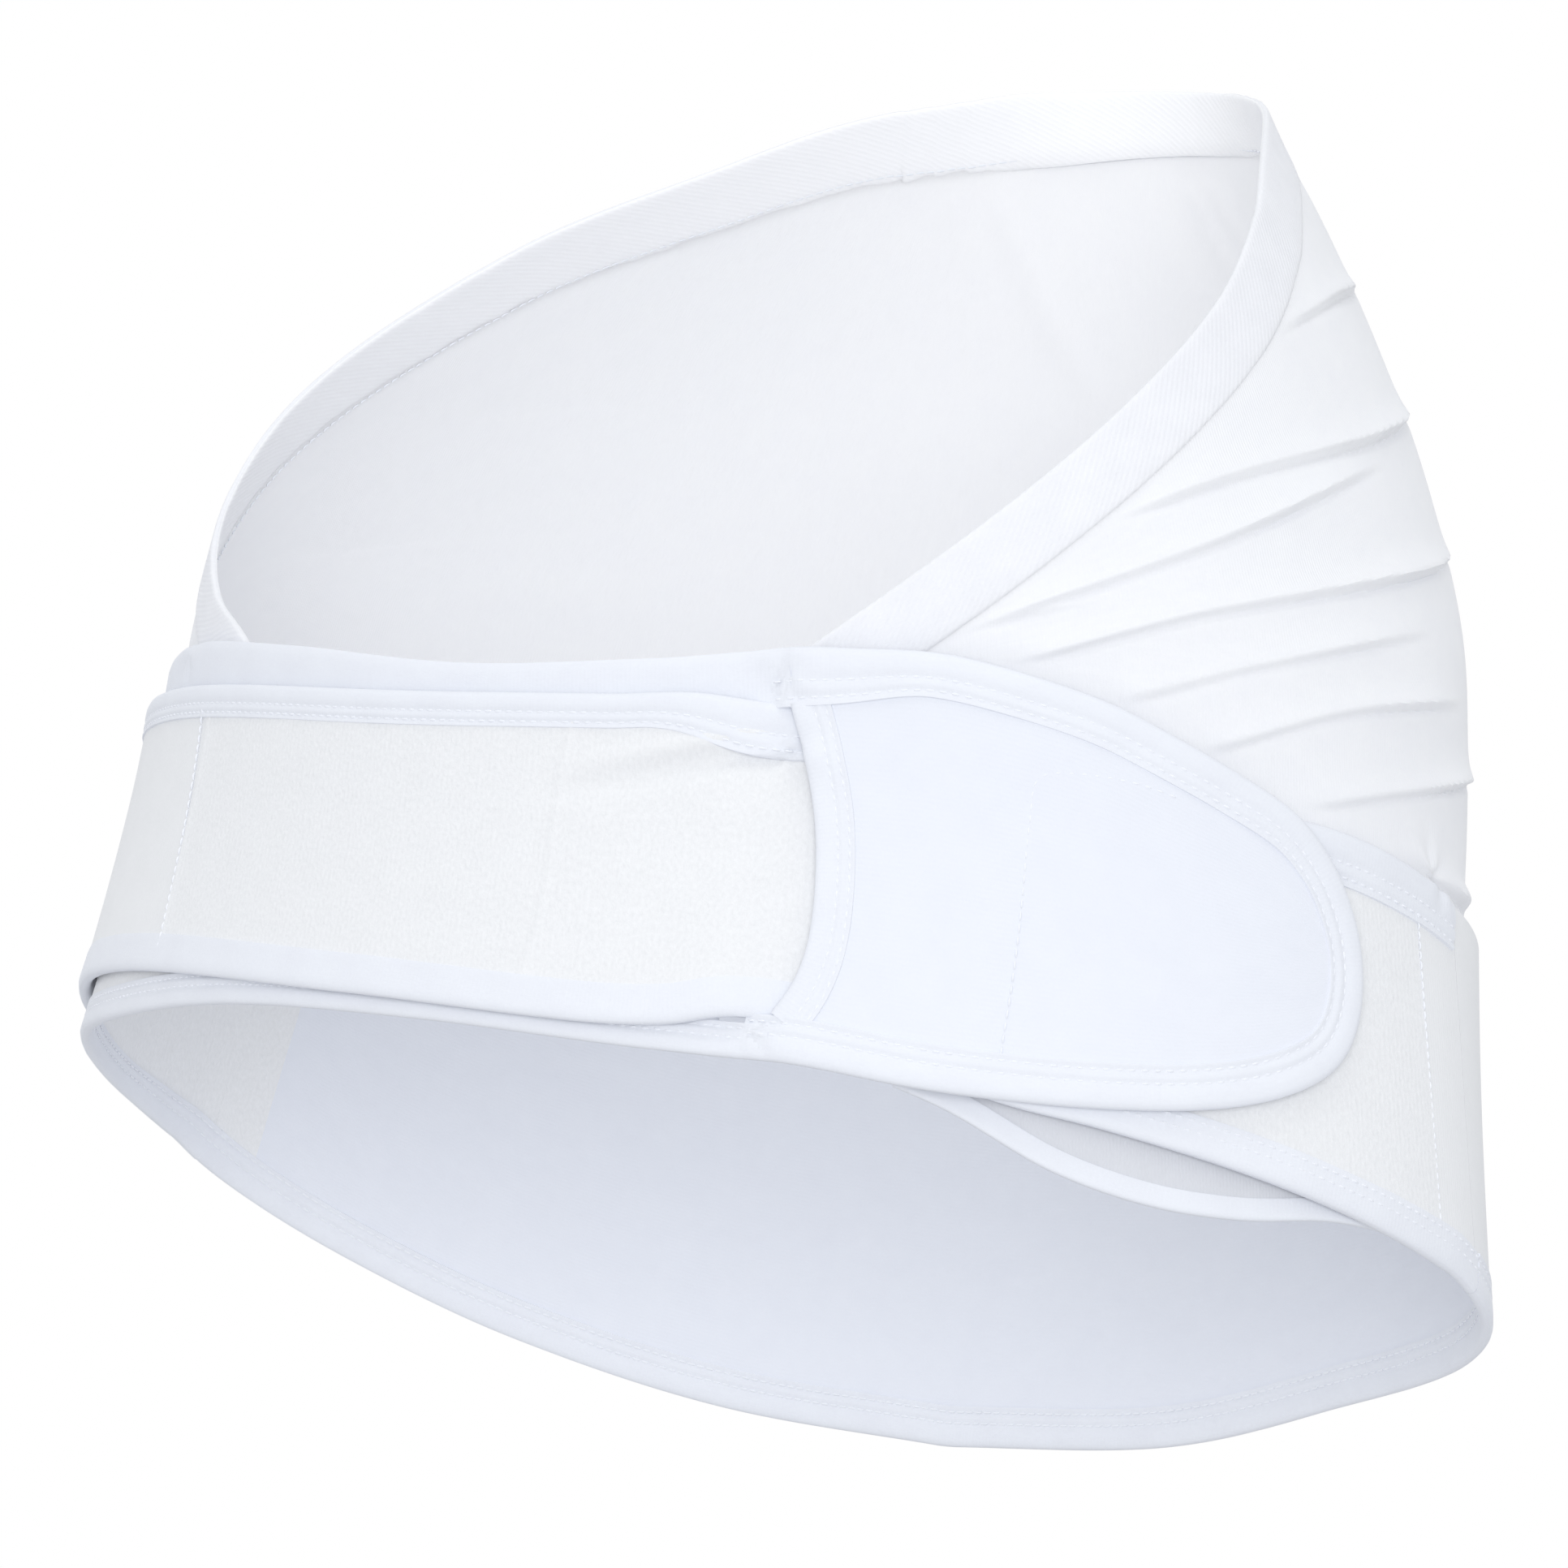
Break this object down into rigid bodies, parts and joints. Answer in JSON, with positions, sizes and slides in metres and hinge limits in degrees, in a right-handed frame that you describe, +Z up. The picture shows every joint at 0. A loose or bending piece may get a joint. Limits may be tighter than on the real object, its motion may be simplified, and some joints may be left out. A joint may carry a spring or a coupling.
{
  "type": "maternity support belt",
  "caption": "Worn maternity support belt: firm under-belly wings closed by a strap through a bound slot, with a gathered stretch hip panel and an elastic waistband.",
  "frame": {"origin": "on the body's axis at the middle of the belt's height at the side seams", "axes": "+Z up, -Y towards the wearer's front, +X towards the wearer's left"},
  "size_m": [0.3437, 0.2371, 0.3106],
  "materials": {
    "loop_fabric": "brushed loop knit, matt",
    "smooth_fabric": "smooth laminated knit",
    "stretch_fabric": "fine stretch knit",
    "elastic": "woven elastic, satin",
    "binding": "folded edge tape"
  },
  "bodies": {
    "root": {"waistband": "elastic", "hip_panel": "stretch_fabric", "back_panel": "smooth_fabric", "back_hem_binding": "binding", "left_wing": "loop_fabric", "wing_top_binding": "binding", "wing_hem_binding": "binding", "slot_front_binding": "binding", "slot_rear_binding": "binding", "tongue": "smooth_fabric", "tongue_binding": "binding", "right_wing": "loop_fabric", "strap_end_piece": "smooth_fabric", "strap_top_binding": "binding", "strap_hem_binding": "binding", "inner_flap": "stretch_fabric", "flap_binding": "binding"}
  },
  "joints": []
}
